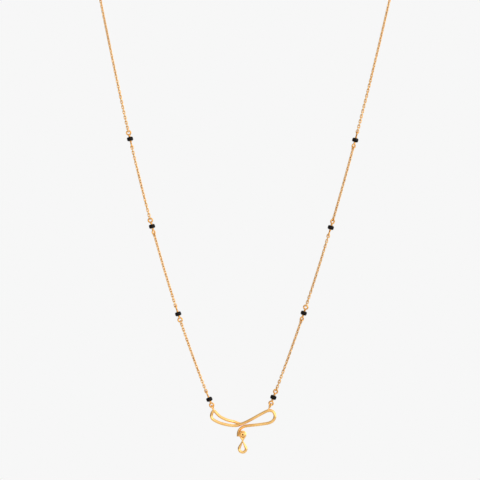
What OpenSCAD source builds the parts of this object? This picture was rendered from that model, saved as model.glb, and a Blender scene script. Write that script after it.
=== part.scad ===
// Mangalsutra: a fine cable chain with eight black beads, a looped wire pendant and a drop.
// It hangs as worn. The origin is the middle of the clasp at the nape, +X is to the right as
// seen from the front, the front faces -Y and +Z is up. Millimetres.

/* [Chain] */
// Width of the cable chain
chain_w = 1; // [0.5:0.05:1.2]
// Free space between a chain's end and the eye that it hooks into
chain_end_gap = 0.1; // [0.05:0.05:0.3]

/* [Beads] */
// Outer diameter of a bead
bead_d = 2.25; // [1.8:0.05:2.6]
// Length of a bead along its pin
bead_l = 1.5; // [1.2:0.05:1.8]
// Radius of a bead's rounded rim
bead_round = 0.5; // [0.2:0.05:0.55]
// Free space between a bead's bore and its pin, all round
bore_gap = 0.06; // [0.03:0.01:0.15]
// Distance from one bead to the next along the chain
bead_pitch = 32.6; // [28:0.2:34]

/* [Eye pins] */
// Diameter of a pin's wire
pin_wire = 0.55; // [0.4:0.05:0.6]
// Outer diameter of a pin's eye
eye_d = 2; // [1.85:0.05:2.3]
// Diameter of the finer wire wrapped round a pin's neck
wrap_wire = 0.25; // [0.15:0.05:0.35]
// Turns of wire in a wrapped neck
wrap_turns = 2; // [1:1:3]
// Free space between a bead and the wrapped neck at each end
bead_gap = 0.05; // [0.03:0.01:0.15]
// Bare neck between the wrapped turns and the eye
neck_l = 0.02; // [0.02:0.02:0.3]

/* [Pendant] */
// Width of the pendant between the middles of its outermost strands
pendant_w = 22.8; // [18:0.2:28]
// Height from the peg to the middle of the highest strand
pendant_h = 8.6; // [7.5:0.1:10]
// Width of the strand seen from the front
strand_w = 1.05; // [0.8:0.01:1.1]
// Thickness of the strand from its flat back to its front ridge
strand_t = 0.8; // [0.6:0.02:0.9]
// Outer diameter of an eyelet
eyelet_d = 1.9; // [1.8:0.05:2.3]
// Diameter of an eyelet's wire
eyelet_wire = 0.45; // [0.4:0.05:0.6]
// How far each eyelet is turned about its post, from edge on, in degrees
eyelet_turn = 20; // [0:5:20]
// Diameter of an eyelet's post where it stands on the strand
post_d = 0.7; // [0.65:0.05:0.75]
// Length of the left post, from the strand to the middle of its eyelet
left_post_l = 1.5; // [1.3:0.05:2]
// Length of the right post, from the strand to the middle of its eyelet
right_post_l = 2; // [1.3:0.05:2.3]
// Free space between hooked eyes
hook_gap = 0.1; // [0.08:0.01:0.15]

/* [Drop] */
// Radius of the peg that the drop swings on
peg_r = 0.66; // [0.6:0.02:0.8]
// Running clearance between the peg and the bail
peg_gap = 0.05; // [0.03:0.01:0.08]
// How far the peg's head overhangs the bail's hole
head_lip = 0.2; // [0.1:0.01:0.24]
// Thickness of the peg's head
head_t = 0.3; // [0.2:0.05:0.5]
// Diameter of the bail's wire
bail_wire = 0.68; // [0.5:0.02:0.76]
// Free space in front of and behind the bail
bail_side_gap = 0.1; // [0.06:0.02:0.2]
// Height from the peg's axis down to the drop's point
drop_top = 1.9; // [1.8:0.05:2.6]
// Height of the open teardrop
drop_h = 4.95; // [4:0.05:7]
// Width of the open teardrop
drop_w = 3.5; // [3:0.05:4.4]
// Width of the teardrop's strand at its round end
drop_strand = 1; // [0.6:0.05:1.2]
// Thickness of the teardrop from its flat back to its front ridge
drop_t = 0.8; // [0.6:0.02:0.9]

/* [Clasp] */
// Length of the clasp's barrel
clasp_l = 7; // [5:0.5:10]
// Diameter of the clasp's barrel
clasp_d = 2.6; // [2.4:0.1:3.5]
// Radius of the barrel's rounded ends
clasp_round = 0.6; // [0.3:0.1:0.8]

/* [Hidden] */
$fn = 48;

// Colours
gold = [0.86, 0.62, 0.27];
black = [0.06, 0.05, 0.06];

// The middle of the peg that carries the drop, in the pendant's upright plane
peg = [-0.85, -46, -186.22];

// The pendant's strand as one path. Columns: across and up from the peg as shares of pendant_w
// and pendant_h, and back as a share of strand_t. It starts behind its own crossing, goes left
// round the narrow end, crosses in front to the right and comes back along the bottom.
strand_table = [
  [-0.03, 0.43, 1.1], [-0.08, 0.465, 1.1], [-0.133, 0.524, 1], [-0.188, 0.562, 0.5],
  [-0.243, 0.604, 0.1], [-0.303, 0.671, 0], [-0.36, 0.757, 0], [-0.407, 0.875, 0],
  [-0.438, 0.965, 0], [-0.459, 0.976, 0], [-0.477, 0.932, 0], [-0.49, 0.84, 0],
  [-0.492, 0.735, 0], [-0.472, 0.641, 0], [-0.429, 0.566, 0], [-0.368, 0.49, 0],
  [-0.295, 0.432, 0], [-0.213, 0.387, 0], [-0.14, 0.367, 0], [-0.083, 0.378, 0],
  [-0.031, 0.426, 0], [0.028, 0.486, 0], [0.1, 0.576, 0], [0.2, 0.722, 0],
  [0.306, 0.877, 0], [0.385, 0.98, 0], [0.441, 0.998, 0], [0.485, 0.942, 0],
  [0.508, 0.812, 0], [0.502, 0.668, 0], [0.467, 0.55, 0], [0.407, 0.475, 0],
  [0.323, 0.438, 0], [0.227, 0.404, 0], [0.139, 0.38, 0], [0.077, 0.361, 0]
];
// The hook at the strand's end, set back behind the bail. Columns: across and up from the peg as
// shares of hook_r, and back as a share of strand_t.
hook_set = 0.3;
hook_table = [
  [0.55, 1.9, hook_set / 2], [-0.07, 1.63, hook_set], [-0.53, 1.24, hook_set],
  [-0.87, 0.73, hook_set], [-1, 0.12, hook_set], [-1.01, -0.47, hook_set]
];
path_steps = 3;

// How far each eye is turned about its pin, from facing the front. Columns: upper, lower.
left_turns = [[0, 90], [0, 55], [90, 0], [90, 0]];
right_turns = [[90, 45], [35, 90], [0, 45], [20, 0]];

// How many bead pitches each bead hangs above the lowest one of its side, from the top
left_places = [3.008, 2.013, 1.004, 0];
right_places = [2.983, 1.98, 0.989, 0];

// How deep the wrapped turns sit in the pin and in each other, how much thinner all round than its
// eye's wire a pin is, and thicker a post's top is, and how deep the peg's plate sits in the hook
wrap_sink = 0.06;
pin_trim = 0.02;
plate_sink = 0.35;
// The peg's domed head. Columns: out as a share of head_r, and forward as a share of head_t.
head_dome = [[1, 0], [1, 0.5], [0.85, 0.9], [0.5, 1], [0, 1]];
// The small dimple in the middle of the head: radius as a share of head_r, depth as one of head_t
dimple = [0.3, 0.8];
// Number of rings in a chain's tube: the top one of a side, and each of the others
top_rings = 28;
low_rings = 4;
tube_sides = 8;
// Steps along a side and round the end of the teardrop and the bail, and sides of the bail's wire
leg_steps = 8;
arc_steps = 28;
bail_sides = 12;

// Derived sizes
eye_r = (eye_d - pin_wire) / 2;
eyelet_r = (eyelet_d - eyelet_wire) / 2;
pin_r = pin_wire / 2 - pin_trim;
wrap_pitch = wrap_wire - wrap_sink;
wrap_z = bead_l / 2 + bead_gap + wrap_wire / 2;
eye_reach = wrap_z + (wrap_turns - 1) * wrap_pitch + wrap_wire / 2 + neck_l + eye_d / 2;
hook_reach = eye_r + eyelet_r - (pin_wire + eyelet_wire) / 2 - hook_gap;
clasp_eye_x = clasp_l / 2 + eye_r;
bail_r = peg_r + peg_gap + bail_wire / 2;
head_r = peg_r + peg_gap + head_lip;
plate_r = bail_r + bail_wire / 2;
hook_r = plate_r + strand_w / 2 - plate_sink;
hook_back = hook_set * strand_t;
hook_front = hook_back - strand_t / 2;
bail_y = hook_front - bail_side_gap - max(bail_wire, drop_t) / 2;
head_back = bail_y - bail_wire / 2 - bail_side_gap;

// The eyelets stand on the strand, each on a post that leans the way the chain pulls. The feet
// are across and up from the peg as in strand_table, and the pull is the route's first reach.
left_foot = peg + [-0.449 * pendant_w, 0, 0.977 * pendant_h];
right_foot = peg + [0.4035 * pendant_w, 0, pendant_h];
left_pull = [-19.4, 0, 47];
right_pull = [18.4, 0, 46.9];
left_eyelet = left_foot + left_post_l * left_pull / norm(left_pull);
right_eyelet = right_foot + right_post_l * right_pull / norm(right_pull);

// The chain's route on each side, from the pendant's eyelet up to the clasp's eye: three cubic
// curves that share their end points. The first hangs in one upright plane in front, and the
// other two go up and back round the neck.
left_route = [
  left_eyelet, left_eyelet + left_pull, [-42.2, -46, -79], [-52, -46, -30],
  [-54.8, -46, -15.5], [-53, -27, -14], [-41, -14, -7.5],
  [-31, -3.2, -2.1], [-16, 0, 0], [-clasp_eye_x, 0, 0]
];
right_route = [
  right_eyelet, right_eyelet + right_pull, [40.8, -46, -79], [52, -46, -30],
  [55.4, -46, -16], [53, -27, -14], [41, -14, -7.5],
  [31, -3.2, -2.1], [16, 0, 0], [clasp_eye_x, 0, 0]
];
curve_steps = 40;

// Points along the route
function bezier(a, b, c, d, t) =
  pow(1 - t, 3) * a + 3 * pow(1 - t, 2) * t * b + 3 * (1 - t) * t * t * c + pow(t, 3) * d;
function route_line(p) = [
  for (s = [0 : 2], i = [(s == 0 ? 0 : 1) : curve_steps])
    bezier(p[3 * s], p[3 * s + 1], p[3 * s + 2], p[3 * s + 3], i / curve_steps)
];
function running(line, i = 1, sum = [0]) =
  i == len(line) ? sum :
  running(line, i + 1, concat(sum, [sum[i - 1] + norm(line[i] - line[i - 1])]));
function unit(v) = v / norm(v);

left_line = route_line(left_route);
right_line = route_line(right_route);
left_dist = running(left_line);
right_dist = running(right_line);
function side_line(side) = side < 0 ? left_line : right_line;
function side_dist(side) = side < 0 ? left_dist : right_dist;

// The place in a list, counted in steps, where a distance along the route is reached
function step_at(dist, s) =
  let (i = min(len(dist) - 2, len([for (d = dist) if (d <= s) 1]) - 1))
  i + (s - dist[i]) / (dist[i + 1] - dist[i]);
function part_way(list, x) =
  let (i = max(0, min(len(list) - 2, floor(x)))) list[i] + (x - i) * (list[i + 1] - list[i]);
function point(side, s) = part_way(side_line(side), step_at(side_dist(side), s));

// Distance along the route from the pendant's eyelet to bead k, counted from the top
function bead_s(side, k) =
  hook_reach + eye_reach + (side < 0 ? left_places : right_places)[k - 1] * bead_pitch;

// A tube or strand: a closed solid through rings of points, with flat ends
module rings_solid(rings) {
  n = len(rings);
  m = len(rings[0]);
  polyhedron(
    points = [for (ring = rings, p = ring) p],
    faces = concat(
      [[for (j = [0 : m - 1]) j]],
      [for (i = [0 : n - 2], j = [0 : m - 1])
        [i * m + j, (i + 1) * m + j, (i + 1) * m + (j + 1) % m, i * m + (j + 1) % m]],
      [[for (j = [m - 1 : -1 : 0]) (n - 1) * m + j]]
    )
  );
}

// Directions across a path, carried along it without twist from the first one
function carried(dirs, across, i = 1) =
  i == len(dirs) ? across :
  carried(dirs, concat(across, [unit(across[i - 1] - (across[i - 1] * dirs[i]) * dirs[i])]), i + 1);

// The chain between two distances along a side's route
module chain(side, s0, s1, count) {
  line = side_line(side);
  x0 = step_at(side_dist(side), s0);
  x1 = step_at(side_dist(side), s1);
  steps = [for (i = [0 : count - 1]) x0 + (x1 - x0) * i / (count - 1)];
  dirs = [for (x = steps) unit(part_way(line, x + 0.5) - part_way(line, x - 0.5))];
  us = carried(dirs, [[0, 1, 0]]);
  color(gold)
    rings_solid([
      for (i = [0 : count - 1])
        let (p = part_way(line, steps[i]), u = us[i], v = cross(dirs[i], u))
        [for (j = [0 : tube_sides - 1])
          let (a = 360 * j / tube_sides) p + chain_w / 2 * (cos(a) * u + sin(a) * v)]
    ]);
}
module chain_of(side, k) {
  dist = side_dist(side);
  s0 = bead_s(side, k) + eye_reach + eye_d / 2 + chain_end_gap;
  s1 = k == 1 ? dist[len(dist) - 1] - eye_d / 2 - chain_end_gap
    : bead_s(side, k - 1) - eye_reach - eye_d / 2 - chain_end_gap;
  chain(side, s0, s1, k == 1 ? top_rings : low_rings);
}

// Place a child whose axis is Z at bead k, along the chain
module at_bead(side, k) {
  s = bead_s(side, k);
  p = point(side, s);
  d = point(side, s + eye_reach) - point(side, s - eye_reach);
  translate(p) rotate([0, atan2(d[0], d[2]), 0]) children();
}

// A round rod along Z with rounded rims, centred
module rod(d, length, rim) {
  r = min(rim, d / 4, length / 3);
  rotate_extrude() {
    translate([0, -length / 2]) square([d / 2 - r, length]);
    translate([0, r - length / 2]) square([d / 2, length - 2 * r]);
    for (z = [-1, 1]) translate([d / 2 - r, z * (length / 2 - r)]) circle(r);
  }
}

module bead(side, k) {
  color(black)
    at_bead(side, k)
      difference() {
        rod(bead_d, bead_l, bead_round);
        cylinder(h = 2 * bead_l, r = pin_r + bore_gap, center = true);
      }
}

module ring(r, wire) {
  rotate_extrude() translate([r, 0]) circle(wire / 2);
}

module eye_pin(side, k) {
  turns = (side < 0 ? left_turns : right_turns)[k - 1];
  color(gold)
    at_bead(side, k) {
      rotate_extrude() {
        translate([0, eye_r - eye_reach]) square([pin_r, 2 * (eye_reach - eye_r)]);
        for (z = [1, -1], i = [0 : wrap_turns - 1])
          translate([pin_r + wrap_wire / 2 - wrap_sink, z * (wrap_z + i * wrap_pitch)])
            circle(wrap_wire / 2);
      }
      for (z = [1, -1])
        translate([0, 0, z * eye_reach])
          rotate([0, 0, z > 0 ? turns[0] : turns[1]])
            rotate([90, 0, 0]) ring(eye_r, pin_wire);
    }
}

module clasp() {
  color(gold) {
    rotate([0, 90, 0]) rod(clasp_d, clasp_l, clasp_round);
    for (x = [-1, 1])
      translate([x * clasp_eye_x, 0, 0]) rotate([90, 0, 0]) ring(eye_r, pin_wire);
  }
}

// A strand's section: flat back, upright sides and a ridge along the front. Columns: across as
// a share of the width, and back as a share of the thickness.
strand_section = [
  [-0.5, 0.34], [-0.36, 0.5], [0.36, 0.5], [0.5, 0.34],
  [0.5, -0.1], [0.08, -0.5], [-0.08, -0.5], [-0.5, -0.1]
];

// A smooth path through a list of points
function smooth(p, steps) = [
  for (i = [0 : len(p) - 2], j = [0 : steps - (i == len(p) - 2 ? 0 : 1)])
    let (
      f = j / steps, b = p[i], c = p[i + 1],
      a = i == 0 ? 2 * b - c : p[i - 1],
      d = i == len(p) - 2 ? 2 * c - b : p[i + 2]
    )
    0.5 * (2 * b + (c - a) * f + (2 * a - 5 * b + 4 * c - d) * f * f
      + (3 * b - a - 3 * c + d) * f * f * f)
];

strand_path = smooth(concat(
  [for (p = strand_table) [p[0] * pendant_w, p[2] * strand_t, p[1] * pendant_h]],
  [for (p = hook_table) [p[0] * hook_r, p[2] * strand_t, p[1] * hook_r]]
), path_steps);

module strand() {
  n = len(strand_path);
  rings_solid([
    for (i = [0 : n - 1])
      let (
        t = unit(strand_path[min(n - 1, i + 1)] - strand_path[max(0, i - 1)]),
        across = unit(cross(t, [0, 1, 0]))
      )
      [for (q = strand_section)
        strand_path[i] + q[0] * strand_w * across + [0, q[1] * strand_t, 0]]
  ]);
}

module eyelet_post(foot, pull, length, turn) {
  translate(foot) rotate([0, atan2(pull[0], pull[2]), 0]) {
    cylinder(h = length - eyelet_r, r1 = post_d / 2, r2 = eyelet_wire / 2 + pin_trim);
    translate([0, 0, length]) rotate([0, 90, turn]) ring(eyelet_r, eyelet_wire);
  }
}

module pendant_frame() {
  color(gold) {
    translate(peg) strand();
    eyelet_post(left_foot, left_pull, left_post_l, -eyelet_turn);
    eyelet_post(right_foot, right_pull, right_post_l, eyelet_turn);
    translate(peg) rotate([90, 0, 0]) {
      translate([0, 0, -hook_back]) cylinder(h = hook_back - hook_front, r = plate_r);
      difference() {
        rotate_extrude()
          polygon(concat(
            [[0, 0], [peg_r, 0], [peg_r, -head_back]],
            [for (q = head_dome) [q[0] * head_r, q[1] * head_t - head_back]]
          ));
        translate([0, 0, (1 - dimple[1]) * head_t - head_back])
          cylinder(h = head_t, r = dimple[0] * head_r);
      }
    }
  }
}

module drop() {
  color(gold)
    translate(peg + [0, bail_y, 0]) {
      bail();
      teardrop();
    }
}

// A teardrop's outline from its point, down one side, round and back up
function drop_line(r, point_z, middle_z) =
  let (
    reach = point_z - middle_z,
    lean = asin(r / reach),
    foot = [r * cos(lean), middle_z + r * sin(lean)]
  )
  concat(
    [for (i = [0 : leg_steps - 1]) [0, point_z] + (foot - [0, point_z]) * i / leg_steps],
    [for (i = [0 : arc_steps])
      let (a = lean - (180 + 2 * lean) * i / arc_steps) [r * cos(a), middle_z + r * sin(a)]],
    [for (i = [leg_steps - 1 : -1 : 1])
      [0, point_z] + ([-foot[0], foot[1]] - [0, point_z]) * i / leg_steps]
  );

module teardrop() {
  middle_z = drop_w / 2 - drop_h - drop_top;
  band(
    drop_line(drop_w / 2 - drop_strand, -drop_top - drop_strand, middle_z),
    drop_line(drop_w / 2, -drop_top, middle_z),
    strand_section, drop_t
  );
}

// The bail is a teardrop of round wire that stands upside down, its point in the drop's point
module bail() {
  rotate([0, 180, 0])
    band(
      drop_line(bail_r - bail_wire / 2, drop_top - bail_wire, 0),
      drop_line(bail_r + bail_wire / 2, drop_top + bail_wire, 0),
      [for (j = [0 : bail_sides - 1])
        let (a = -360 * j / bail_sides) [cos(a) / 2, sin(a) / 2]],
      bail_wire
    );
}

// A closed loop between an inner and an outer line, with a section laid out as strand_section
module band(inner, outer, section, thick) {
  n = len(outer);
  m = len(section);
  polyhedron(
    points = [for (i = [0 : n - 1], q = section)
      let (p = inner[i] + (outer[i] - inner[i]) * (q[0] + 0.5)) [p[0], q[1] * thick, p[1]]],
    faces = [for (i = [0 : n - 1], j = [0 : m - 1])
      let (k = (i + 1) % n) [i * m + j, k * m + j, k * m + (j + 1) % m, i * m + (j + 1) % m]]
  );
}

clasp();
chain_of(-1, 1);  // chain_l1
chain_of(-1, 2);  // chain_l2
chain_of(-1, 3);  // chain_l3
chain_of(-1, 4);  // chain_l4
chain_of(1, 1);  // chain_r1
chain_of(1, 2);  // chain_r2
chain_of(1, 3);  // chain_r3
chain_of(1, 4);  // chain_r4
eye_pin(-1, 1);  // eye_pin_l1
eye_pin(-1, 2);  // eye_pin_l2
eye_pin(-1, 3);  // eye_pin_l3
eye_pin(-1, 4);  // eye_pin_l4
eye_pin(1, 1);  // eye_pin_r1
eye_pin(1, 2);  // eye_pin_r2
eye_pin(1, 3);  // eye_pin_r3
eye_pin(1, 4);  // eye_pin_r4
bead(-1, 1);  // bead_l1
bead(-1, 2);  // bead_l2
bead(-1, 3);  // bead_l3
bead(-1, 4);  // bead_l4
bead(1, 1);  // bead_r1
bead(1, 2);  // bead_r2
bead(1, 3);  // bead_r3
bead(1, 4);  // bead_r4
pendant_frame();
drop();
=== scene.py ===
import bisect
import bpy
import math
from mathutils import Matrix, Vector


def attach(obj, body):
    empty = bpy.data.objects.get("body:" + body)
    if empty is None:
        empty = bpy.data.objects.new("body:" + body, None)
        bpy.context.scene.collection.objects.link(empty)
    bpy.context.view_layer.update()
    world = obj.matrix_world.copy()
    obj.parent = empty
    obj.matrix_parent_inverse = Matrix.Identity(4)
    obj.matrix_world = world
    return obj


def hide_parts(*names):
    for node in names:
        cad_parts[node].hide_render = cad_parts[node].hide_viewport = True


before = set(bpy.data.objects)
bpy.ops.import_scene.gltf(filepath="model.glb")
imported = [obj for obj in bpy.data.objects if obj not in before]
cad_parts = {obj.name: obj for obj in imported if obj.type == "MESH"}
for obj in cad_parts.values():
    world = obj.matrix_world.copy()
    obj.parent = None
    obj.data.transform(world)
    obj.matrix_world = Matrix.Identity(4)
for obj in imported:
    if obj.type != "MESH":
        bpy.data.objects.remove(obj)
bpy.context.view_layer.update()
mm = 0.001   # the pieces' sizes are in millimetres
print("frame loaded:", len(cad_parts), "nodes")

# Materials: every pattern reads Object coordinates, which are the necklace's own metres

noise = {"roughness": 0.55, "span": (0.3, 0.7)}   # most of a noise's values lie in the span


def addNode(tree, kind, place, **sockets):
    node = tree.nodes.new(kind)
    node.location = place
    for name, value in sockets.items():
        node.inputs[name.replace("_", " ")].default_value = value
    return node


def noiseOf(tree, coords, scale, detail, place):
    cloud = addNode(tree, "ShaderNodeTexNoise", place, Scale=scale, Detail=detail,
                    Roughness=noise["roughness"])
    tree.links.new(coords, cloud.inputs["Vector"])
    return cloud.outputs["Fac"]


def rangeOf(tree, value, low, high, place, span=noise["span"]):
    spread = addNode(tree, "ShaderNodeMapRange", place, From_Min=span[0], From_Max=span[1],
                     To_Min=low, To_Max=high)
    tree.links.new(value, spread.inputs["Value"])
    return spread.outputs["Result"]


def mixOf(tree, factor, first, second, place, blend="MIX"):
    mix = addNode(tree, "ShaderNodeMix", place)
    mix.data_type, mix.blend_type = "RGBA", blend
    for name, value in (("Factor", factor), ("A", first), ("B", second)):
        if isinstance(value, bpy.types.NodeSocket):
            tree.links.new(value, mix.inputs[name])
        else:
            mix.inputs[name].default_value = value
    return mix.outputs["Result"]


def rippleOf(tree, coords, look, detail):
    bump = addNode(tree, "ShaderNodeBump", (-600, -350),
                   Strength=look["ripple"], Distance=look["rippleDepth"])
    height = noiseOf(tree, coords, look["rippleScale"], detail, (-1150, -350))
    tree.links.new(height, bump.inputs["Height"])
    return bump.outputs["Normal"]


def newMaterial(name):
    material = bpy.data.materials.new(name)
    material.use_nodes = True
    tree = material.node_tree
    coords = addNode(tree, "ShaderNodeTexCoord", (-1400, 0)).outputs["Object"]
    return material, tree, tree.nodes["Principled BSDF"].inputs, coords


def goldMaterial(name, look):
    material, tree, surface, coords = newMaterial(name)
    surface["Metallic"].default_value = 1.0
    # the alloy's slow change of tone
    tone = noiseOf(tree, coords, look["toneScale"], 2, (-1150, 250))
    share = rangeOf(tree, tone, 0, 1, (-850, 250))
    colour = mixOf(tree, share, look["deep"], look["light"], (-600, 250))
    tree.links.new(colour, surface["Base Color"])
    # where handling has dulled the polish
    haze = noiseOf(tree, coords, look["hazeScale"], 4, (-1150, -50))
    tree.links.new(rangeOf(tree, haze, *look["roughness"], (-850, -50)), surface["Roughness"])
    tree.links.new(rippleOf(tree, coords, look, 3), surface["Normal"])
    return material


def paintHollowShade(material, centre, radius, look):
    # painted shade: the gold in the small hollow of the peg's head is painted darker, standing in
    # for the shade that falls into the recess
    tree = material.node_tree
    base = tree.nodes["Principled BSDF"].inputs["Base Color"]
    coords = addNode(tree, "ShaderNodeTexCoord", (-1150, 600)).outputs["Object"]
    far = addNode(tree, "ShaderNodeVectorMath", (-900, 600))
    far.operation = "DISTANCE"
    tree.links.new(coords, far.inputs[0])
    far.inputs[1].default_value = centre
    span = (look["hollowFade"] * radius, radius)
    # the painted shade is full near the dimple's middle and fades out towards its rim
    inside = rangeOf(tree, far.outputs["Value"], 1, 0, (-700, 600), span)
    colour = mixOf(tree, inside, base.links[0].from_socket, look["hollowShade"], (-300, 400))
    tree.links.new(colour, base)


def glassMaterial(name, look):
    material, tree, surface, coords = newMaterial(name)
    surface["IOR"].default_value = look["ior"]
    surface["Specular IOR Level"].default_value = look["specular"]
    # faint cloud in the glass
    streak = noiseOf(tree, coords, look["streakScale"], 3, (-1150, 250))
    share = rangeOf(tree, streak, 0, 1, (-850, 250))
    colour = mixOf(tree, share, look["deep"], look["light"], (-600, 250))
    tree.links.new(colour, surface["Base Color"])
    dull = rangeOf(tree, streak, *look["roughness"], (-850, -50))
    tree.links.new(dull, surface["Roughness"])
    tree.links.new(rippleOf(tree, coords, look, 2), surface["Normal"])
    return material


goldLook = {
    "deep": (0.80, 0.44, 0.14, 1), "light": (0.93, 0.60, 0.23, 1), "toneScale": 300,
    "roughness": (0.10, 0.20), "hazeScale": 700,
    "ripple": 0.06, "rippleDepth": 0.00002, "rippleScale": 900,
    # the hollow colour is painted shade for the peg head's dimple, and hollowFade is the share of
    # its radius where that painted shade is full
    "hollowShade": (0.10, 0.045, 0.012, 1), "hollowFade": 0.9,   # share of the radius that is all dark
}
chainLook = {
    "deep": (0.66, 0.38, 0.14, 1), "light": (0.80, 0.51, 0.23, 1), "toneScale": 500,
    "roughness": (0.14, 0.28), "hazeScale": 1500,
    "ripple": 0.1, "rippleDepth": 0.00001, "rippleScale": 3000,
}
# the eye pins' gold is the chain's gold painted darker and redder: painted shade on the smooth
# eyes, standing in for the shade that the links cast on each other
pinShadedLook = {
    "deep": (0.60, 0.28, 0.06, 1), "light": (0.75, 0.41, 0.12, 1), "toneScale": 500,
    "roughness": (0.12, 0.24), "hazeScale": 1500,
    "ripple": 0.1, "rippleDepth": 0.00001, "rippleScale": 3000,
}
glassLook = {
    "deep": (0.003, 0.0018, 0.0015, 1), "light": (0.008, 0.005, 0.004, 1), "streakScale": 1500,
    "roughness": (0.08, 0.16), "ior": 1.5, "specular": 0.08,
    "ripple": 0.2, "rippleDepth": 0.00002, "rippleScale": 1500,
}
polishedGold = goldMaterial("polishedGold", goldLook)
chainGold = goldMaterial("chainGold", chainLook)
pinShadedGold = goldMaterial("pinShadedGold", pinShadedLook)
blackGlass = glassMaterial("blackGlass", glassLook)
print("materials made")

# Mesh makers: each gives a list of points and faces in millimetres, and a piece joins such lists

fineness = {"latheSides": 48, "ringSteps": 40, "ringSides": 12}   # of turned pieces and wire rings


def addObject(name, data):
    added = bpy.data.objects.new(name, data)
    bpy.context.scene.collection.objects.link(added)
    return added


def sweep(rings, closed=False):
    count, around = len(rings), len(rings[0])
    points = [Vector(p) for ring in rings for p in ring]
    faces = []
    for i in range(count if closed else count - 1):
        k = (i + 1) % count
        for j in range(around):
            m = (j + 1) % around
            faces.append((i * around + j, k * around + j, k * around + m, i * around + m))
    if not closed:
        faces.append(tuple(range(around)))
        faces.append(tuple(reversed(range((count - 1) * around, count * around))))
    return points, faces


def evenAngles(count):
    return [2 * math.pi * i / count for i in range(count)]


def tube(path, radius, sides, first=(0, 1, 0)):
    path = [Vector(p) for p in path]
    across = Vector(first)
    rings = []
    for i, place in enumerate(path):
        along = (path[min(len(path) - 1, i + 1)] - path[max(0, i - 1)]).normalized()
        across = (across - across.dot(along) * along).normalized()
        side = along.cross(across)
        r = radius[i] if isinstance(radius, list) else radius
        rings.append([place + r * (math.cos(a) * across + math.sin(a) * side)
                      for a in evenAngles(sides)])
    return sweep(rings)


def lathe(profile):
    # profile is (distance from the Z axis, height), closed where its ends meet off the axis
    closed = profile[0] == profile[-1]
    profile = profile[:-1] if closed else profile
    sides = fineness["latheSides"]
    points, faces, rows = [], [], []
    for r, z in profile:
        if r < 1e-9:
            rows.append([len(points)] * sides)
            points.append(Vector((0, 0, z)))
            continue
        rows.append([len(points) + j for j in range(sides)])
        points += [Vector((r * math.cos(a), r * math.sin(a), z)) for a in evenAngles(sides)]
    for i in range(len(rows) if closed else len(rows) - 1):
        low, high = rows[i], rows[(i + 1) % len(rows)]
        for j in range(sides):
            m = (j + 1) % sides
            loop = [low[j], low[m], high[m], high[j]]
            loop = [p for n, p in enumerate(loop) if p not in loop[:n]]
            if len(loop) > 2:
                faces.append(tuple(loop))
    return points, faces


def placed(part, place):
    points, faces = part
    return [place @ p for p in points], faces


def wireRing(radius, wire, turnAxis="X"):
    # a ring of round wire, made flat and turned upright about turnAxis
    section = [(radius + wire / 2 * math.cos(a), wire / 2 * math.sin(a))
               for a in evenAngles(fineness["ringSides"])]
    rings = [[(out * math.cos(a), out * math.sin(a), up) for out, up in section]
             for a in evenAngles(fineness["ringSteps"])]
    return placed(sweep(rings, closed=True), Matrix.Rotation(math.pi / 2, 4, turnAxis))


def makePiece(name, parts, material, node, body, sharp=40):
    points, faces = [], []
    for partPoints, partFaces in parts:
        start = len(points)
        points += [p * mm for p in partPoints]
        faces += [tuple(start + i for i in face) for face in partFaces]
    mesh = bpy.data.meshes.new(name)
    mesh.from_pydata(points, [], faces)
    mesh.materials.append(material)
    mesh.shade_smooth()
    piece = addObject(name, mesh)
    bpy.context.view_layer.objects.active = piece
    bpy.ops.object.select_all(action="DESELECT")
    piece.select_set(True)
    bpy.ops.object.mode_set(mode="EDIT")
    bpy.ops.mesh.select_all(action="SELECT")
    bpy.ops.mesh.normals_make_consistent(inside=False)
    bpy.ops.object.mode_set(mode="OBJECT")
    mesh.set_sharp_from_angle(angle=math.radians(sharp))
    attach(piece, body)
    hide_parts(node)


# The chain's route on each side, from the pendant's eyelet up to the clasp

peg = Vector((-0.85, -46, -186.22))   # middle of the peg that carries the drop
pendant = {
    "width": 22.8, "height": 8.6, "strandWidth": 1.05, "strandThick": 0.8,
    "strandSteps": 9,   # rings from one row of the strand's table to the next
    # a corner is cut by at most these shares, of the strand's width and of the edge beside it
    "softCut": 0.12, "softShare": 0.4,
    "eyeletAcross": 1.9, "eyeletWire": 0.45, "eyeletTurn": 20, "hookGap": 0.1,
    "leftFoot": (-0.449, 0.977), "rightFoot": (0.4035, 1),   # shares of the width and height
    "leftPost": 1.5, "rightPost": 2.0, "postAcross": 0.7, "postSides": 24,
    "pegRadius": 0.66, "headLip": 0.2, "headThick": 0.3, "headEdge": 0.03,
    "headRound": (0.14, 0.45), "dimple": (0.3, 0.8),   # shares of the head's radius and thickness
    "bailWire": 0.68, "bailSides": 20, "gap": 0.05, "sideGap": 0.1,
    "plateSink": 0.35, "plateEdge": 0.06, "sharp": 50,
}
pin = {
    "wire": 0.55, "eyeAcross": 2.0, "neck": 0.02, "trim": 0.02, "wireSides": 16,
    "wrapWire": 0.25, "wrapTurns": 2, "sink": 0.06, "wrapSides": 8, "wrapSteps": 20,
    # the helix starts this much before its first ring and turns this much past its last
    "wrapLead": 0.02, "wrapOver": 0.1,
    # the upper and the lower eye of each pin, in degrees from facing front
    "leftTurns": [(0, 90), (0, 55), (90, 0), (90, 0)],
    "rightTurns": [(90, 45), (35, 90), (0, 45), (20, 0)],
}
bead = {
    "across": 2.25, "length": 1.5, "rim": 0.5, "rimSteps": 8, "gap": 0.05, "boreGap": 0.06,
    "lip": 0.08, "lipSteps": 4, "lipFoot": 0.2,   # the bore's fire-polished edge
    "pitch": 32.6,                                # the places are pitches above the lowest bead
    "leftPlaces": [3.008, 2.013, 1.004, 0], "rightPlaces": [2.983, 1.98, 0.989, 0],
}
drop = {
    "top": 1.9, "height": 4.95, "width": 3.5, "strand": 1.0, "thick": 0.8,
    "legSteps": 14, "arcSteps": 56, "sharp": 50,
}
clasp = {"length": 7, "across": 2.6, "rim": 0.6, "rimSteps": 8}

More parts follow.
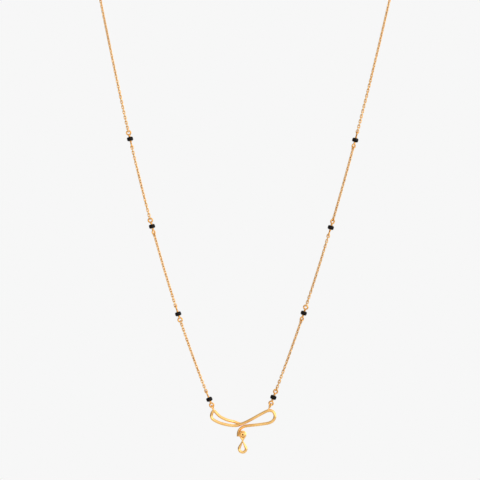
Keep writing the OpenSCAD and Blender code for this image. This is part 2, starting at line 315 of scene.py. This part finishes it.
eyeRadius = (pin["eyeAcross"] - pin["wire"]) / 2
eyeletRadius = (pendant["eyeletAcross"] - pendant["eyeletWire"]) / 2
wrapPitch = pin["wrapWire"] - pin["sink"]
wrapStart = bead["length"] / 2 + bead["gap"] + pin["wrapWire"] / 2
wrapEnd = wrapStart + (pin["wrapTurns"] - 1) * wrapPitch + pin["wrapWire"] / 2
eyeReach = wrapEnd + pin["neck"] + pin["eyeAcross"] / 2
halfWires = (pin["wire"] + pendant["eyeletWire"]) / 2
hookReach = eyeRadius + eyeletRadius - halfWires - pendant["hookGap"]
claspEye = clasp["length"] / 2 + eyeRadius

sideWord = {-1: "left", 1: "right"}
sideName = {-1: "L", 1: "R"}
numbered = [(side, k) for side in (-1, 1) for k in (1, 2, 3, 4)]   # the beads from the top
pull = {-1: Vector((-19.4, 0, 47)), 1: Vector((18.4, 0, 46.9))}    # each route's first reach
foot, eyelet = {}, {}
for side, word in sideWord.items():
    across, up = pendant[word + "Foot"]
    foot[side] = peg + Vector((across * pendant["width"], 0, up * pendant["height"]))
    eyelet[side] = foot[side] + pendant[word + "Post"] * pull[side].normalized()

routes = {   # three curves end to end, with four corners each
    -1: [eyelet[-1], eyelet[-1] + pull[-1], (-42.2, -46, -79),
         (-52, -46, -30), (-54.8, -46, -15.5), (-53, -27, -14),
         (-41, -14, -7.5), (-31, -3.2, -2.1), (-16, 0, 0), (-claspEye, 0, 0)],
    1: [eyelet[1], eyelet[1] + pull[1], (40.8, -46, -79),
        (52, -46, -30), (55.4, -46, -16), (53, -27, -14),
        (41, -14, -7.5), (31, -3.2, -2.1), (16, 0, 0), (claspEye, 0, 0)],
}
curveSteps = 240


def makeRoute(corners):
    corners = [Vector(c) for c in corners]
    points = [corners[0]]
    for start in range(0, len(corners) - 1, 3):
        a, b, c, d = corners[start:start + 4]
        for i in range(1, curveSteps + 1):
            t = i / curveSteps
            u = 1 - t
            points.append(u ** 3 * a + 3 * u ** 2 * t * b + 3 * u * t * t * c + t ** 3 * d)
    run = [0.0]
    for p, q in zip(points, points[1:]):
        run.append(run[-1] + (q - p).length)
    return points, run


route = {side: makeRoute(routes[side]) for side in routes}


def routePoint(side, s):
    points, run = route[side]
    i = min(max(bisect.bisect_right(run, s) - 1, 0), len(run) - 2)
    return points[i].lerp(points[i + 1], (s - run[i]) / (run[i + 1] - run[i]))


def beadRun(side, k):
    # how far along the route the middle of a bead is
    return hookReach + eyeReach + bead[sideWord[side] + "Places"][k - 1] * bead["pitch"]


def beadPlace(side, k):
    s = beadRun(side, k)
    along = routePoint(side, s + eyeReach) - routePoint(side, s - eyeReach)
    lean = Matrix.Rotation(math.atan2(along.x, along.z), 4, "Y")
    return Matrix.Translation(routePoint(side, s)) @ lean


print("routes made:", round(route[-1][1][-1], 1), "and", round(route[1][1][-1], 1), "mm")

# Chain links, one run of links for each stretch between two eyes

link = {
    "length": 1.71, "width": 1.1, "endWidth": 1.3, "wire": 0.36, "pitch": 0.95, "pathSteps": 4,
    "around": 16, "wireSides": 6, "eyeGap": 0.03, "wobble": 3.0, "seed": 11,
}


def linkTree(material):
    tree = bpy.data.node_groups.new("chainLinks", "GeometryNodeTree")
    sockets = tree.interface
    sockets.new_socket("Path", in_out="INPUT", socket_type="NodeSocketGeometry")
    for name in ("Link length", "Link width", "End width", "Wire",
                 "First turn", "Turn each", "Middle twist", "Wobble"):
        sockets.new_socket(name, in_out="INPUT", socket_type="NodeSocketFloat")
    for name in ("Count", "Around", "Wire sides", "Seed"):
        sockets.new_socket(name, in_out="INPUT", socket_type="NodeSocketInt")
    sockets.new_socket("Links", in_out="OUTPUT", socket_type="NodeSocketGeometry")
    new, join = tree.nodes.new, tree.links.new
    given = new("NodeGroupInput").outputs

    def sums(operation, *values):
        node = new("ShaderNodeMath")
        node.operation = operation
        for n, value in enumerate(values):
            if isinstance(value, (int, float)):
                node.inputs[n].default_value = value
            else:
                join(value, node.inputs[n])
        return node.outputs[0]

    def oneLink(width):
        # a circle pulled apart across its middle, to a long oval with straight sides
        circle = new("GeometryNodeCurvePrimitiveCircle")
        join(given["Around"], circle.inputs["Resolution"])
        join(sums("MULTIPLY", sums("SUBTRACT", width, given["Wire"]), 0.5), circle.inputs["Radius"])
        split = new("ShaderNodeSeparateXYZ")
        join(new("GeometryNodeInputPosition").outputs[0], split.inputs[0])
        onMiddle = sums("COMPARE", split.outputs["Y"], 0, 1e-6)
        away = sums("MULTIPLY", sums("SIGN", split.outputs["Y"]), sums("SUBTRACT", 1, onMiddle))
        reach = sums("MULTIPLY", sums("SUBTRACT", given["Link length"], width), 0.5)
        shift = new("ShaderNodeCombineXYZ")
        join(sums("MULTIPLY", away, reach), shift.inputs["Y"])
        stretch = new("GeometryNodeSetPosition")
        join(circle.outputs["Curve"], stretch.inputs["Geometry"])
        join(shift.outputs[0], stretch.inputs["Offset"])
        wire = new("GeometryNodeCurvePrimitiveCircle")
        join(given["Wire sides"], wire.inputs["Resolution"])
        join(sums("MULTIPLY", given["Wire"], 0.5), wire.inputs["Radius"])
        body = new("GeometryNodeCurveToMesh")
        join(stretch.outputs[0], body.inputs["Curve"])
        join(wire.outputs["Curve"], body.inputs["Profile Curve"])
        stand = new("GeometryNodeTransform")
        join(body.outputs[0], stand.inputs["Geometry"])
        stand.inputs["Rotation"].default_value = (math.pi / 2, 0, 0)
        return stand.outputs[0]

    curve = new("GeometryNodeMeshToCurve")
    join(given["Path"], curve.inputs[0])
    spots = new("GeometryNodeCurveToPoints")
    spots.mode = "COUNT"
    join(curve.outputs[0], spots.inputs["Curve"])
    join(given["Count"], spots.inputs["Count"])
    along = new("FunctionNodeAlignRotationToVector")
    along.axis = "Z"
    join(spots.outputs["Tangent"], along.inputs["Vector"])
    facing = new("FunctionNodeAlignRotationToVector")
    facing.axis, facing.pivot_axis = "X", "Z"
    join(along.outputs[0], facing.inputs["Rotation"])
    join(spots.outputs["Normal"], facing.inputs["Vector"])
    place = new("GeometryNodeInputIndex").outputs[0]
    wobble = new("FunctionNodeRandomValue")
    wobble.data_type = "FLOAT"
    low, high = [s for s in wobble.inputs if s.name in ("Min", "Max") and s.type == "VALUE"]
    join(sums("MULTIPLY", given["Wobble"], -1), low)
    join(given["Wobble"], high)
    join(given["Seed"], wobble.inputs["Seed"])
    drift = [s for s in wobble.outputs if s.type == "VALUE"][0]
    angle = sums("ADD", given["First turn"], sums("MULTIPLY", place, given["Turn each"]))
    angle = sums("ADD", angle, drift)
    half = sums("DIVIDE", sums("MULTIPLY", place, math.pi), sums("SUBTRACT", given["Count"], 1))
    angle = sums("ADD", angle, sums("MULTIPLY", sums("SINE", half), given["Middle twist"]))
    spin = new("FunctionNodeAxisAngleToRotation")
    spin.inputs["Axis"].default_value = (0, 0, 1)
    join(angle, spin.inputs["Angle"])
    turned = new("FunctionNodeRotateRotation")
    turned.rotation_space = "LOCAL"
    join(facing.outputs[0], turned.inputs["Rotation"])
    join(spin.outputs[0], turned.inputs["Rotate By"])
    isFirst = sums("LESS_THAN", place, 0.5)
    isLast = sums("GREATER_THAN", place, sums("SUBTRACT", given["Count"], 1.5))
    isEnd = sums("ADD", isFirst, isLast)
    isBetween = sums("LESS_THAN", isEnd, 0.5)
    both = new("GeometryNodeJoinGeometry")
    for width, chosen in ((given["Link width"], isBetween), (given["End width"], isEnd)):
        copies = new("GeometryNodeInstanceOnPoints")
        join(spots.outputs["Points"], copies.inputs["Points"])
        join(chosen, copies.inputs["Selection"])
        join(oneLink(width), copies.inputs["Instance"])
        join(turned.outputs[0], copies.inputs["Rotation"])
        join(copies.outputs[0], both.inputs[0])
    real = new("GeometryNodeRealizeInstances")
    join(both.outputs[0], real.inputs[0])
    smooth = new("GeometryNodeSetShadeSmooth")
    join(real.outputs[0], smooth.inputs[0])
    paint = new("GeometryNodeSetMaterial")
    paint.inputs["Material"].default_value = material
    join(smooth.outputs[0], paint.inputs["Geometry"])
    join(paint.outputs[0], new("NodeGroupOutput").inputs[0])
    return tree


def eyeAngle(tangent, normal, eyeNormal):
    # the angle about the chain at which a link lies square to an eye
    side = tangent.cross(normal)
    return math.atan2(eyeNormal.dot(side), eyeNormal.dot(normal))


def linkRun(side, k, tree):
    name = "chain" + sideName[side] + str(k)
    turns = pin[sideWord[side] + "Turns"]
    reach = eyeRadius - pin["wire"] / 2 - link["eyeGap"] - link["wire"] + link["length"] / 2
    first = beadRun(side, k) + eyeReach + reach
    last = (route[side][1][-1] if k == 1 else beadRun(side, k - 1) - eyeReach) - reach
    count = round((last - first) / link["pitch"]) + 1
    steps = link["pathSteps"] * count
    points = [routePoint(side, first + (last - first) * i / steps) for i in range(steps + 1)]
    mesh = bpy.data.meshes.new(name + "Path")
    mesh.from_pydata([p * mm for p in points], [(i, i + 1) for i in range(len(points) - 1)], [])
    path = addObject(name + "Path", mesh)

    # the curve's own normal, carried along it as the tree's points carry it
    tangents = [(b - a).normalized() for a, b in zip(points, points[1:])]
    firstNormal = Vector((tangents[0].y, -tangents[0].x, 0)).normalized()
    normal = firstNormal.copy()
    for n, (a, b) in enumerate(zip(tangents, tangents[1:])):
        normal = a.rotation_difference(b) @ normal
        if n == len(tangents) // 2:
            frontTurn = eyeAngle(b, normal, Vector((0, 1, 0)))

    def eyeNormalAt(turn, beadNumber):
        flat = Vector((-math.sin(math.radians(turn)), math.cos(math.radians(turn)), 0))
        return beadPlace(side, beadNumber).to_3x3() @ flat

    startEye = eyeNormalAt(turns[k - 1][0], k)
    endEye = Vector((0, 1, 0)) if k == 1 else eyeNormalAt(turns[k - 2][1], k - 1)
    firstTurn = eyeAngle(tangents[0], firstNormal, startEye)
    lastTurn = eyeAngle(tangents[-1], normal, endEye)
    spare = (lastTurn - firstTurn - math.pi / 2 * (count - 1)) % math.pi
    spare = spare - math.pi if spare > math.pi / 2 else spare

    # a limp chain settles with its links halfway between flat and edge on, away from the eyes
    twist = (frontTurn + math.pi / 4 - firstTurn - spare / 2) % (math.pi / 2)
    twist = twist - math.pi / 2 if twist > math.pi / 4 else twist

    values = {
        "Link length": link["length"] * mm, "Link width": link["width"] * mm,
        "End width": link["endWidth"] * mm, "Wire": link["wire"] * mm,
        "First turn": firstTurn, "Turn each": math.pi / 2 + spare / (count - 1),
        "Middle twist": twist, "Wobble": math.radians(link["wobble"]),
        "Count": count, "Around": link["around"], "Wire sides": link["wireSides"],
        "Seed": link["seed"] + 10 * k + side,
    }
    maker = path.modifiers.new("links", "NODES")
    maker.node_group = tree
    for item in tree.interface.items_tree:
        if item.in_out == "INPUT" and item.name in values:
            maker[item.identifier] = values[item.name]
    evaluated = path.evaluated_get(bpy.context.evaluated_depsgraph_get())
    links = bpy.data.meshes.new_from_object(evaluated)
    path.modifiers.remove(maker)
    bpy.data.objects.remove(path)
    links.name = name
    piece = addObject(name, links)
    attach(piece, "root")
    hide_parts("chain_" + sideName[side].lower() + str(k))
    pitch = (last - first) / (count - 1)
    print(name, count, "links,", len(links.polygons), "faces, pitch", round(pitch, 3))
    return count


chainTree = linkTree(chainGold)
linkCount = sum(linkRun(side, k, chainTree) for side, k in numbered)
print("chain made:", linkCount, "links")

# Beads: a rounded barrel with a drilled bore


def arc(cx, cy, radius, start, end, steps):
    angles = [math.radians(start + (end - start) * i / steps) for i in range(steps + 1)]
    return [(cx + radius * math.cos(a), cy + radius * math.sin(a)) for a in angles]


def beadPart():
    outer, half, rim, lip = bead["across"] / 2, bead["length"] / 2, bead["rim"], bead["lip"]
    bore = pin["wire"] / 2 - pin["trim"] + bead["boreGap"]
    profile = [(bore, half - lip - bead["lipFoot"]), (bore, half - lip)]
    profile += arc(bore + lip, half - lip, lip, 180, 90, bead["lipSteps"])[1:]
    profile += arc(outer - rim, half - rim, rim, 90, 0, bead["rimSteps"])
    profile = [(r, -z) for r, z in reversed(profile)] + profile
    profile = profile[::-1]
    return lathe(profile + [profile[0]])


for side, k in numbered:
    name = sideName[side] + str(k)
    makePiece("bead" + name, [placed(beadPart(), beadPlace(side, k))], blackGlass,
              "bead_" + name.lower(), "root")
print("beads made")

# Eye pins: a straight wire with an eye at each end and a wrapped neck


def helixPath(start, turnCount, radius, pitch, steps):
    angles = [2 * math.pi * i / steps for i in range(round(turnCount * steps) + 1)]
    return [(radius * math.cos(a), radius * math.sin(a), start + pitch * i / steps)
            for i, a in enumerate(angles)]


def pinParts(upper, lower):
    radius = pin["wire"] / 2 - pin["trim"]
    reach = eyeReach - eyeRadius
    parts = [tube([(0, 0, -reach), (0, 0, reach)], radius, pin["wireSides"])]
    helix = helixPath(wrapStart - pin["wrapLead"], pin["wrapTurns"] - 1 + pin["wrapOver"],
                      radius + pin["wrapWire"] / 2 - pin["sink"], wrapPitch, pin["wrapSteps"])
    wrap = tube(helix, pin["wrapWire"] / 2, pin["wrapSides"], (0, 0, 1))
    for end, turn in ((1, upper), (-1, lower)):
        spin = Matrix.Rotation(math.radians(turn), 4, "Z")
        place = Matrix.Translation((0, 0, end * eyeReach)) @ spin
        parts += [placed(wireRing(eyeRadius, pin["wire"]), place),
                  placed(wrap, Matrix.Diagonal((1, 1, end, 1)))]
    return parts


for side, k in numbered:
    name = sideName[side] + str(k)
    parts = pinParts(*pin[sideWord[side] + "Turns"][k - 1])
    makePiece("eyePin" + name, [placed(part, beadPlace(side, k)) for part in parts], pinShadedGold,
              "eye_pin_" + name.lower(), "root")
print("eye pins made")

# The pendant's strand: the same path as the frame's, finer, with a softened ridge and edges

strandTable = [   # across and up as shares of the pendant, back as a share of the thickness
    (-0.03, 0.43, 1.1), (-0.08, 0.465, 1.1), (-0.133, 0.524, 1), (-0.188, 0.562, 0.5),
    (-0.243, 0.604, 0.1), (-0.303, 0.671, 0), (-0.36, 0.757, 0), (-0.407, 0.875, 0),
    (-0.438, 0.965, 0), (-0.459, 0.976, 0), (-0.477, 0.932, 0), (-0.49, 0.84, 0),
    (-0.492, 0.735, 0), (-0.472, 0.641, 0), (-0.429, 0.566, 0), (-0.368, 0.49, 0),
    (-0.295, 0.432, 0), (-0.213, 0.387, 0), (-0.14, 0.367, 0), (-0.083, 0.378, 0),
    (-0.031, 0.426, 0), (0.028, 0.486, 0), (0.1, 0.576, 0), (0.2, 0.722, 0),
    (0.306, 0.877, 0), (0.385, 0.98, 0), (0.441, 0.998, 0), (0.485, 0.942, 0),
    (0.508, 0.812, 0), (0.502, 0.668, 0), (0.467, 0.55, 0), (0.407, 0.475, 0),
    (0.323, 0.438, 0), (0.227, 0.404, 0), (0.139, 0.38, 0), (0.077, 0.361, 0),
]
hookSet = 0.3   # how far the hook lies back, as a share of the strand's thickness
hookTable = [   # across and up as shares of the hook's radius, back as a share of the thickness
    (0.55, 1.9, hookSet / 2), (-0.07, 1.63, hookSet), (-0.53, 1.24, hookSet),
    (-0.87, 0.73, hookSet), (-1, 0.12, hookSet), (-1.01, -0.47, hookSet),
]
bailRadius = pendant["pegRadius"] + pendant["gap"] + pendant["bailWire"] / 2
headRadius = pendant["pegRadius"] + pendant["gap"] + pendant["headLip"]
plateRadius = bailRadius + pendant["bailWire"] / 2
hookRadius = plateRadius + pendant["strandWidth"] / 2 - pendant["plateSink"]
hookBack = hookSet * pendant["strandThick"]
hookFront = hookBack - pendant["strandThick"] / 2
bailY = hookFront - pendant["sideGap"] - max(pendant["bailWire"], drop["thick"]) / 2
headBack = bailY - pendant["bailWire"] / 2 - pendant["sideGap"]

# the strand's section, across and back: flat behind, with a ridge in front
strandSection = [(-0.5, 0.34), (-0.36, 0.5), (0.36, 0.5), (0.5, 0.34),
                 (0.5, -0.1), (0.08, -0.5), (-0.08, -0.5), (-0.5, -0.1)]


def softened(section):
    # each corner becomes three points on a short curve
    soft = []
    for i, corner in enumerate(section):
        corner, ends = Vector(corner), []
        for beside in (section[i - 1], section[(i + 1) % len(section)]):
            edge = Vector(beside) - corner
            cut = min(pendant["softCut"], edge.length * pendant["softShare"])
            ends.append(corner + edge.normalized() * cut)
        soft += [ends[0], (ends[0] + 2 * corner + ends[1]) / 4, ends[1]]
    return soft


def smoothPath(points, steps):
    # a curve through all the points, with its end points' own reach carried on
    out = []
    last = len(points) - 2
    for i in range(last + 1):
        b, c = points[i], points[i + 1]
        a = 2 * b - c if i == 0 else points[i - 1]
        d = 2 * c - b if i == last else points[i + 2]
        for j in range(steps + (1 if i == last else 0)):
            f = j / steps
            out.append(0.5 * (2 * b + (c - a) * f + (2 * a - 5 * b + 4 * c - d) * f * f
                              + (3 * b - a - 3 * c + d) * f ** 3))
    return out


def strandPart():
    thick, width = pendant["strandThick"], pendant["strandWidth"]
    knots = [Vector((x * pendant["width"], y * thick, z * pendant["height"]))
             for x, z, y in strandTable]
    knots += [Vector((x * hookRadius, y * thick, z * hookRadius)) for x, z, y in hookTable]
    path = smoothPath(knots, pendant["strandSteps"])
    section = softened(strandSection)
    rings = []
    for i, p in enumerate(path):
        along = (path[min(len(path) - 1, i + 1)] - path[max(0, i - 1)]).normalized()
        across = along.cross(Vector((0, 1, 0))).normalized()
        rings.append([p + q[0] * width * across + Vector((0, q[1] * thick, 0)) for q in section])
    return sweep(rings)


def pegPart():
    r, lip, edge, t = pendant["pegRadius"], headRadius, pendant["headEdge"], pendant["headThick"]
    back, front = -headBack, t - headBack
    inward, rise = pendant["headRound"]
    hole, floor = pendant["dimple"][0] * lip, front - pendant["dimple"][1] * t
    profile = [(0, 0), (r, 0), (r, back), (lip - edge, back), (lip, back + edge)]
    profile += [((1 - inward + inward * math.cos(a)) * lip, back + (0.5 + rise * math.sin(a)) * t)
                for a in [math.radians(a) for a in range(0, 91, 15)]]
    profile += [(lip / 2, front), (hole + edge, front), (hole, front - edge),
                (hole, floor), (0, floor)]
    return lathe(profile)


def discPart():
    r, edge = plateRadius, pendant["plateEdge"]
    return lathe([(0, -hookBack), (r - edge, -hookBack), (r, -hookBack + edge),
                  (r, -hookFront - edge), (r - edge, -hookFront), (0, -hookFront)])


dimpleWide, dimpleDeep = pendant["dimple"]
dimpleReach = math.hypot(dimpleWide * headRadius, dimpleDeep * pendant["headThick"])
dimpleSpot = peg + Vector((0, headBack - pendant["headThick"] * (1 - dimpleDeep), 0))
# paints shade into the dimple of the peg's head
paintHollowShade(polishedGold, dimpleSpot * mm, dimpleReach * mm, goldLook)
frontward = Matrix.Translation(peg) @ Matrix.Rotation(math.pi / 2, 4, "X")
pendantParts = [placed(strandPart(), Matrix.Translation(peg)),
                placed(pegPart(), frontward), placed(discPart(), frontward)]
for side in (-1, 1):
    lean = Matrix.Rotation(math.atan2(pull[side].x, pull[side].z), 4, "Y")
    turn = Matrix.Rotation(math.radians(side * pendant["eyeletTurn"]), 4, "Z")
    ring = wireRing(eyeletRadius, pendant["eyeletWire"], "Y")
    pendantParts.append(placed(ring, Matrix.Translation(eyelet[side]) @ lean @ turn))
    top = eyelet[side].lerp(foot[side], eyeletRadius / (eyelet[side] - foot[side]).length)
    radii = [pendant["postAcross"] / 2, pendant["eyeletWire"] / 2 + pin["trim"]]
    pendantParts.append(tube([foot[side], top], radii, pendant["postSides"]))
makePiece("pendantFrame", pendantParts, polishedGold, "pendant_frame", "root",
          sharp=pendant["sharp"])
print("pendant made")

# The drop: a wire bail round the peg and an open teardrop below it


def teardropLine(r, tip, middle):
    # from the tip down a straight leg, round the end and back up the other leg
    lean = math.asin(r / (tip - middle))
    top, legEnd = Vector((0, tip)), Vector((r * math.cos(lean), middle + r * math.sin(lean)))
    otherEnd = Vector((-legEnd.x, legEnd.y))
    legSteps, arcSteps = drop["legSteps"], drop["arcSteps"]
    down = [top.lerp(legEnd, i / legSteps) for i in range(legSteps)]
    angles = [lean - (math.pi + 2 * lean) * i / arcSteps for i in range(arcSteps + 1)]
    bottom = [Vector((r * math.cos(a), middle + r * math.sin(a))) for a in angles]
    return down + bottom + [top.lerp(otherEnd, i / legSteps) for i in range(legSteps - 1, 0, -1)]


def band(inner, outer, section, thick):
    # a closed band of the section, laid between the inner and the outer line
    rings = []
    for a, b in zip(inner, outer):
        spots = [a.lerp(b, q[0] + 0.5) for q in section]
        rings.append([Vector((p.x, q[1] * thick, p.y)) for p, q in zip(spots, section)])
    return sweep(rings, closed=True)


def teardropPart():
    r, strand = drop["width"] / 2, drop["strand"]
    middle = r - drop["height"] - drop["top"]
    inner = teardropLine(r - strand, -drop["top"] - strand, middle)
    outer = teardropLine(r, -drop["top"], middle)
    return band(inner, outer, softened(strandSection), drop["thick"])


def bailPart():
    # a teardrop of round wire that stands upside down, its point in the drop's point
    half = pendant["bailWire"] / 2
    inner = teardropLine(bailRadius - half, drop["top"] - 2 * half, 0)
    outer = teardropLine(bailRadius + half, drop["top"] + 2 * half, 0)
    section = [(math.cos(a) / 2, -math.sin(a) / 2) for a in evenAngles(pendant["bailSides"])]
    return placed(band(inner, outer, section, 2 * half), Matrix.Rotation(math.pi, 4, "Y"))


hang = Matrix.Translation(peg + Vector((0, bailY, 0)))
makePiece("openDrop", [placed(bailPart(), hang), placed(teardropPart(), hang)], polishedGold,
          "drop", "drop", sharp=drop["sharp"])
print("drop made")

# The clasp at the nape: a plain rounded barrel with an eye at each end


def claspParts():
    r, half, rim, steps = clasp["across"] / 2, clasp["length"] / 2, clasp["rim"], clasp["rimSteps"]
    profile = [(0, -half)] + arc(r - rim, -half + rim, rim, -90, 0, steps)
    profile += arc(r - rim, half - rim, rim, 0, 90, steps) + [(0, half)]
    barrel = placed(lathe(profile), Matrix.Rotation(math.pi / 2, 4, "Y"))
    eye = wireRing(eyeRadius, pin["wire"])
    return [barrel] + [placed(eye, Matrix.Translation((x * claspEye, 0, 0))) for x in (-1, 1)]


makePiece("barrelClasp", claspParts(), polishedGold, "clasp", "root")
print("clasp made")

# Stage: pale floor, pale surroundings and soft lights

stage = {
    "floorHeight": -0.62, "floorRadius": 3.2, "floorSides": 96, "floorRoughness": 0.8,
    "white": 0.93, "floorWhite": 0.84,
    # how bright the room is along each axis, as (place from 0 at one end to 1 at the other, glow)
    "depthGlow": [(0.0, 1.5), (0.1, 1.2), (0.3, 0.95), (1.0, 0.9)],
    "heightGlow": [(0.0, 1.2), (0.5, 1.0), (1.0, 0.95)],
    "sideGlow": [(0.0, 0.4), (0.5, 0.98), (1.0, 1.85)],
}


def makeFloor():
    r, sides = stage["floorRadius"], stage["floorSides"]
    points = [(r * math.cos(a), r * math.sin(a), stage["floorHeight"]) for a in evenAngles(sides)]
    mesh = bpy.data.meshes.new("floor")
    mesh.from_pydata(points, [], [tuple(range(sides))])
    material = bpy.data.materials.new("paleFloor")
    material.use_nodes = True
    surface = material.node_tree.nodes["Principled BSDF"].inputs
    surface["Base Color"].default_value = (stage["floorWhite"],) * 3 + (1,)
    surface["Roughness"].default_value = stage["floorRoughness"]
    mesh.materials.append(material)
    addObject("floor", mesh)


def makeWorld():
    world = bpy.data.worlds.new("studio")
    bpy.context.scene.world = world
    world.use_nodes = True
    tree = world.node_tree
    tree.nodes.clear()
    join = tree.links.new
    out = tree.nodes.new("ShaderNodeOutputWorld")
    paper = addNode(tree, "ShaderNodeBackground", (0, 200), Color=(stage["white"],) * 3 + (1,))
    split = addNode(tree, "ShaderNodeSeparateXYZ", (-900, 0))
    join(addNode(tree, "ShaderNodeTexCoord", (-1100, 0)).outputs["Generated"], split.inputs[0])
    glows = (("Y", stage["depthGlow"]), ("Z", stage["heightGlow"]), ("X", stage["sideGlow"]))
    parts = []
    for n, (axis, stops) in enumerate(glows):
        height = 250 - 250 * n
        share = rangeOf(tree, split.outputs[axis], 0, 1, (-700, height), (-1, 1))
        ramp = addNode(tree, "ShaderNodeValToRGB", (-500, height))
        marks = ramp.color_ramp.elements
        marks[0].position, marks[1].position = stops[0][0], stops[-1][0]
        for stop in stops[1:-1]:
            marks.new(stop[0])
        for mark, stop in zip(marks, stops):
            mark.color = (stop[1] / 2,) * 3 + (1,)   # half of the glow, to stay below 1
        join(share, ramp.inputs["Fac"])
        parts.append(ramp.outputs["Color"])
    total = parts[0]
    for n, more in enumerate(parts[1:]):
        total = mixOf(tree, 1, total, more, (-200, -250 * n), "MULTIPLY")
    # the strength makes up for the halves
    room = addNode(tree, "ShaderNodeBackground", (0, 0), Strength=2 ** len(glows))
    join(total, room.inputs["Color"])
    seen = tree.nodes.new("ShaderNodeLightPath")
    pick = tree.nodes.new("ShaderNodeMixShader")
    join(seen.outputs["Is Camera Ray"], pick.inputs["Fac"])
    join(room.outputs[0], pick.inputs[1])
    join(paper.outputs[0], pick.inputs[2])
    join(pick.outputs[0], out.inputs["Surface"])


def makeLight(name, place, aim, size, power, colour):
    data = bpy.data.lights.new(name, "AREA")
    data.shape, data.size, data.size_y = "RECTANGLE", size[0], size[1]
    data.energy, data.color = power, colour
    light = addObject(name, data)
    light.location = place
    light.rotation_euler = (Vector(aim) - Vector(place)).to_track_quat("-Z", "Y").to_euler()


lights = {   # place, size, power and colour
    "keyBox": ((0.8, -0.9, 0.1), (0.7, 0.7), 2.5, (1, 1, 0.98)),
    "fillBox": ((-0.9, -0.6, 0.5), (0.6, 0.8), 0.6, (1, 1, 1)),
    "topBox": ((0.2, 0.1, 1.0), (0.8, 0.8), 1.0, (1, 1, 1)),
}
lightAim = (0, -0.04, -0.12)
makeFloor()
makeWorld()
for name, (place, size, power, colour) in lights.items():
    makeLight(name, place, lightAim, size, power, colour)

camera = {
    "distance": 0.8, "across": -0.0018, "up": -0.11622, "plane": -0.046, "frameWidth": 0.1728,
    "sensor": 36, "clip": (0.01, 20),
}


def makeCamera():
    data = bpy.data.cameras.new("camera")
    data.sensor_width = camera["sensor"]
    data.lens = camera["sensor"] * camera["distance"] / camera["frameWidth"]
    data.clip_start, data.clip_end = camera["clip"]
    eye = addObject("camera", data)
    eye.location = (camera["across"], camera["plane"] - camera["distance"], camera["up"])
    eye.rotation_euler = (math.pi / 2, 0, 0)
    bpy.context.scene.camera = eye


makeCamera()
bpy.context.scene.view_settings.view_transform = "Standard"
print("stage made")
